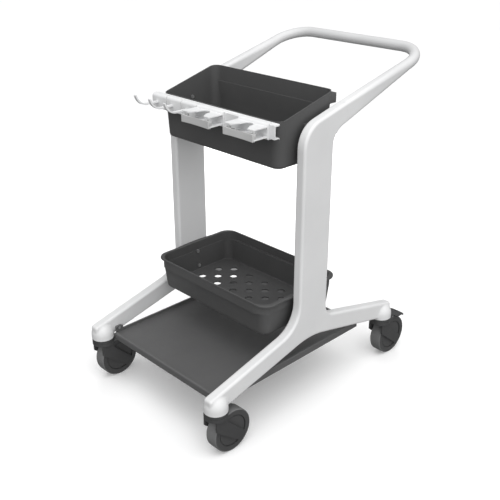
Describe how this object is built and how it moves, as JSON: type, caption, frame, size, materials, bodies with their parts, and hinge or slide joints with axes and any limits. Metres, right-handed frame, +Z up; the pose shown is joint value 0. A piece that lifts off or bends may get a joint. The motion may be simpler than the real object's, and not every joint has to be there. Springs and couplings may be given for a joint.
{
  "type": "cleaning trolley",
  "caption": "Push trolley for cleaning tools: moulded side frames with a looped handle, stepped bins, base shelf, accessory rail with hooks and tool holders, swivel casters, rear brakes.",
  "frame": {"origin": "on the floor, under the middle of the trolley's overall length and width", "axes": "+X to the right of someone who pushes the trolley, +Y to the rear, where the handle is, +Z up"},
  "size_m": [0.574, 0.8681, 0.9687],
  "materials": {
    "frame_white": "satin",
    "bin_grey": "fine matte grain",
    "shelf_grey": "matte",
    "caster_grey": "satin",
    "tread_rubber": "matte",
    "accessory_white": "satin",
    "band_rubber": "ribbed",
    "pad_rubber": "matte",
    "bush_plastic": "smooth",
    "steel": "zinc plated"
  },
  "bodies": {
    "trolley": {"frame_right": "frame_white", "frame_left": "frame_white", "handle": "frame_white", "handle_tongues": "bin_grey", "top_bin": "bin_grey", "top_bin_bolts": "steel", "lower_bin": "bin_grey", "lower_bin_bolts": "steel", "base_shelf": "shelf_grey", "shelf_screws": "steel", "accessory_rail": "accessory_white", "rail_screws": "steel", "hook_1": "accessory_white", "hook_2": "accessory_white", "hook_3": "accessory_white", "tool_holder_1": "accessory_white", "grip_band_1": "band_rubber", "tool_holder_2": "accessory_white", "grip_band_2": "band_rubber", "caster_stem_front_left": "steel", "caster_stem_front_right": "steel", "caster_stem_rear_left": "steel", "caster_stem_rear_right": "steel"},
    "swivel_front_left": {"fork_front_left": "caster_grey", "swivel_bearing_front_left": "steel", "axle_pin_front_left": "steel"},
    "wheel_front_left": {"wheel_core_front_left": "caster_grey", "wheel_tread_front_left": "tread_rubber", "wheel_bushes_front_left": "bush_plastic"},
    "swivel_front_right": {"fork_front_right": "caster_grey", "swivel_bearing_front_right": "steel", "axle_pin_front_right": "steel"},
    "wheel_front_right": {"wheel_core_front_right": "caster_grey", "wheel_tread_front_right": "tread_rubber", "wheel_bushes_front_right": "bush_plastic"},
    "swivel_rear_left": {"fork_rear_left": "caster_grey", "swivel_bearing_rear_left": "steel", "axle_pin_rear_left": "steel", "pedal_pin_rear_left": "steel"},
    "wheel_rear_left": {"wheel_core_rear_left": "caster_grey", "wheel_tread_rear_left": "tread_rubber", "wheel_bushes_rear_left": "bush_plastic"},
    "pedal_rear_left": {"brake_pedal_rear_left": "caster_grey", "brake_pad_rear_left": "pad_rubber"},
    "swivel_rear_right": {"fork_rear_right": "caster_grey", "swivel_bearing_rear_right": "steel", "axle_pin_rear_right": "steel", "pedal_pin_rear_right": "steel"},
    "wheel_rear_right": {"wheel_core_rear_right": "caster_grey", "wheel_tread_rear_right": "tread_rubber", "wheel_bushes_rear_right": "bush_plastic"},
    "pedal_rear_right": {"brake_pedal_rear_right": "caster_grey", "brake_pad_rear_right": "pad_rubber"}
  },
  "joints": [
    {"name": "swivel_front_left", "type": "hinge", "parent": "trolley", "child": "swivel_front_left", "pos_m": [-0.254, -0.4011, 0.142], "axis": [0, 0, 1], "continuous": true},
    {"name": "wheel_front_left", "type": "hinge", "parent": "swivel_front_left", "child": "wheel_front_left", "pos_m": [-0.254, -0.3586, 0.0625], "axis": [1, 0, 0], "continuous": true},
    {"name": "swivel_front_right", "type": "hinge", "parent": "trolley", "child": "swivel_front_right", "pos_m": [0.254, -0.4011, 0.142], "axis": [0, 0, 1], "continuous": true},
    {"name": "wheel_front_right", "type": "hinge", "parent": "swivel_front_right", "child": "wheel_front_right", "pos_m": [0.254, -0.3586, 0.0625], "axis": [1, 0, 0], "continuous": true},
    {"name": "swivel_rear_left", "type": "hinge", "parent": "trolley", "child": "swivel_rear_left", "pos_m": [-0.254, 0.2989, 0.142], "axis": [0, 0, 1], "continuous": true},
    {"name": "wheel_rear_left", "type": "hinge", "parent": "swivel_rear_left", "child": "wheel_rear_left", "pos_m": [-0.254, 0.3414, 0.0625], "axis": [1, 0, 0], "continuous": true},
    {"name": "brake_rear_left", "type": "hinge", "parent": "swivel_rear_left", "child": "pedal_rear_left", "pos_m": [-0.254, 0.3369, 0.132], "axis": [-1, 0, 0], "range_deg": [0, 11]},
    {"name": "swivel_rear_right", "type": "hinge", "parent": "trolley", "child": "swivel_rear_right", "pos_m": [0.254, 0.2989, 0.142], "axis": [0, 0, 1], "continuous": true},
    {"name": "wheel_rear_right", "type": "hinge", "parent": "swivel_rear_right", "child": "wheel_rear_right", "pos_m": [0.254, 0.3414, 0.0625], "axis": [1, 0, 0], "continuous": true},
    {"name": "brake_rear_right", "type": "hinge", "parent": "swivel_rear_right", "child": "pedal_rear_right", "pos_m": [0.254, 0.3369, 0.132], "axis": [-1, 0, 0], "range_deg": [0, 11]}
  ]
}
